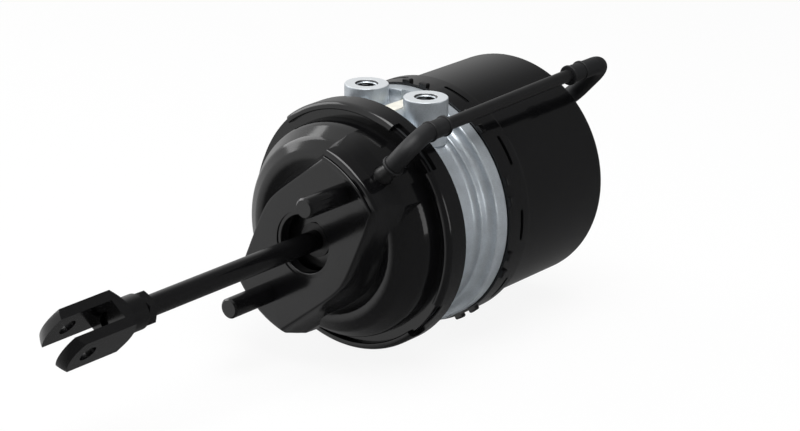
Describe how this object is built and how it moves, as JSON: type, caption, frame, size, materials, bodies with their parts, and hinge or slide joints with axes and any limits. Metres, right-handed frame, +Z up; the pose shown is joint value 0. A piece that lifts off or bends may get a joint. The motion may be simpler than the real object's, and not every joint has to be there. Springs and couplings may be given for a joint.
{
  "type": "air brake chamber",
  "caption": "Spring brake chamber: pressed service housing with two studs, push rod and fork, cast centre body with ports, rear spring can and outside vent line.",
  "frame": {"origin": "centre of the mounting pad's face, on the push rod's axis", "axes": "-Y along the push rod towards its fork, +Y into the chamber, +Z up through the air ports, +X completes the right-handed set"},
  "size_m": [0.197, 0.5676, 0.201],
  "materials": {
    "black_paint": "satin",
    "black_steel": "satin",
    "cast_aluminium": "cast and blasted",
    "machined_aluminium": "machined",
    "zinc_steel": "zinc plated",
    "spring_steel": "phosphated",
    "rubber": "matt",
    "hose_rubber": "matt",
    "black_nylon": "satin",
    "white_nylon": "matt",
    "cream_plate": "matt",
    "bronze": "machined"
  },
  "bodies": {
    "chamber": {"service_housing": "black_paint", "mounting_studs": "black_steel", "hub_ring": "black_steel", "spring_cup": "black_steel", "rod_bush": "black_nylon", "return_spring": "spring_steel", "clamp_ring": "black_paint", "service_diaphragm": "rubber", "centre_body": "cast_aluminium", "port_plate": "cream_plate", "bore_bush": "bronze", "bore_seals": "rubber", "flange_o_ring": "rubber", "lock_wire": "black_steel", "rear_housing": "black_paint", "power_spring": "spring_steel", "spring_seat": "white_nylon", "release_nut": "zinc_steel", "front_nipple": "black_nylon", "rear_nipple": "black_nylon", "vent_tube": "black_nylon", "front_elbow": "hose_rubber", "rear_elbow": "hose_rubber"},
    "push_rod_group": {"push_rod": "black_steel", "push_plate": "black_steel", "lock_nut": "black_steel", "clevis": "black_steel"},
    "parking_piston": {"spring_piston": "machined_aluminium", "piston_seal": "rubber", "piston_guide_ring": "white_nylon", "push_tube": "zinc_steel", "tube_stopper": "black_nylon"},
    "release_carriage": {"thrust_washer": "zinc_steel"},
    "release_screw": {"release_bolt": "zinc_steel", "bolt_clip": "spring_steel"}
  },
  "joints": [
    {"name": "pushrod_stroke", "type": "slide", "parent": "chamber", "child": "push_rod_group", "axis": [0, -1, 0], "range_m": [0, 0.057], "stiffness_N_per_m": 2600, "springref_m": -0.05, "deforming": ["return_spring", "service_diaphragm"]},
    {"name": "spring_piston_stroke", "type": "slide", "parent": "chamber", "child": "parking_piston", "axis": [0, -1, 0], "range_m": [0, 0.057], "deforming": ["power_spring"]},
    {"name": "release_travel", "type": "slide", "parent": "chamber", "child": "release_carriage", "axis": [0, 1, 0], "range_m": [0, 0.057]},
    {"name": "release_turn", "type": "hinge", "parent": "release_carriage", "child": "release_screw", "pos_m": [0, 0.27, 0], "axis": [0, 1, 0], "range_deg": [0, 10260]}
  ],
  "couplings": [
    {"joint": "spring_piston_stroke", "follows": "pushrod_stroke", "ratio": 1},
    {"joint": "release_turn", "follows": "release_travel", "rad_per_m": 3141.6}
  ]
}
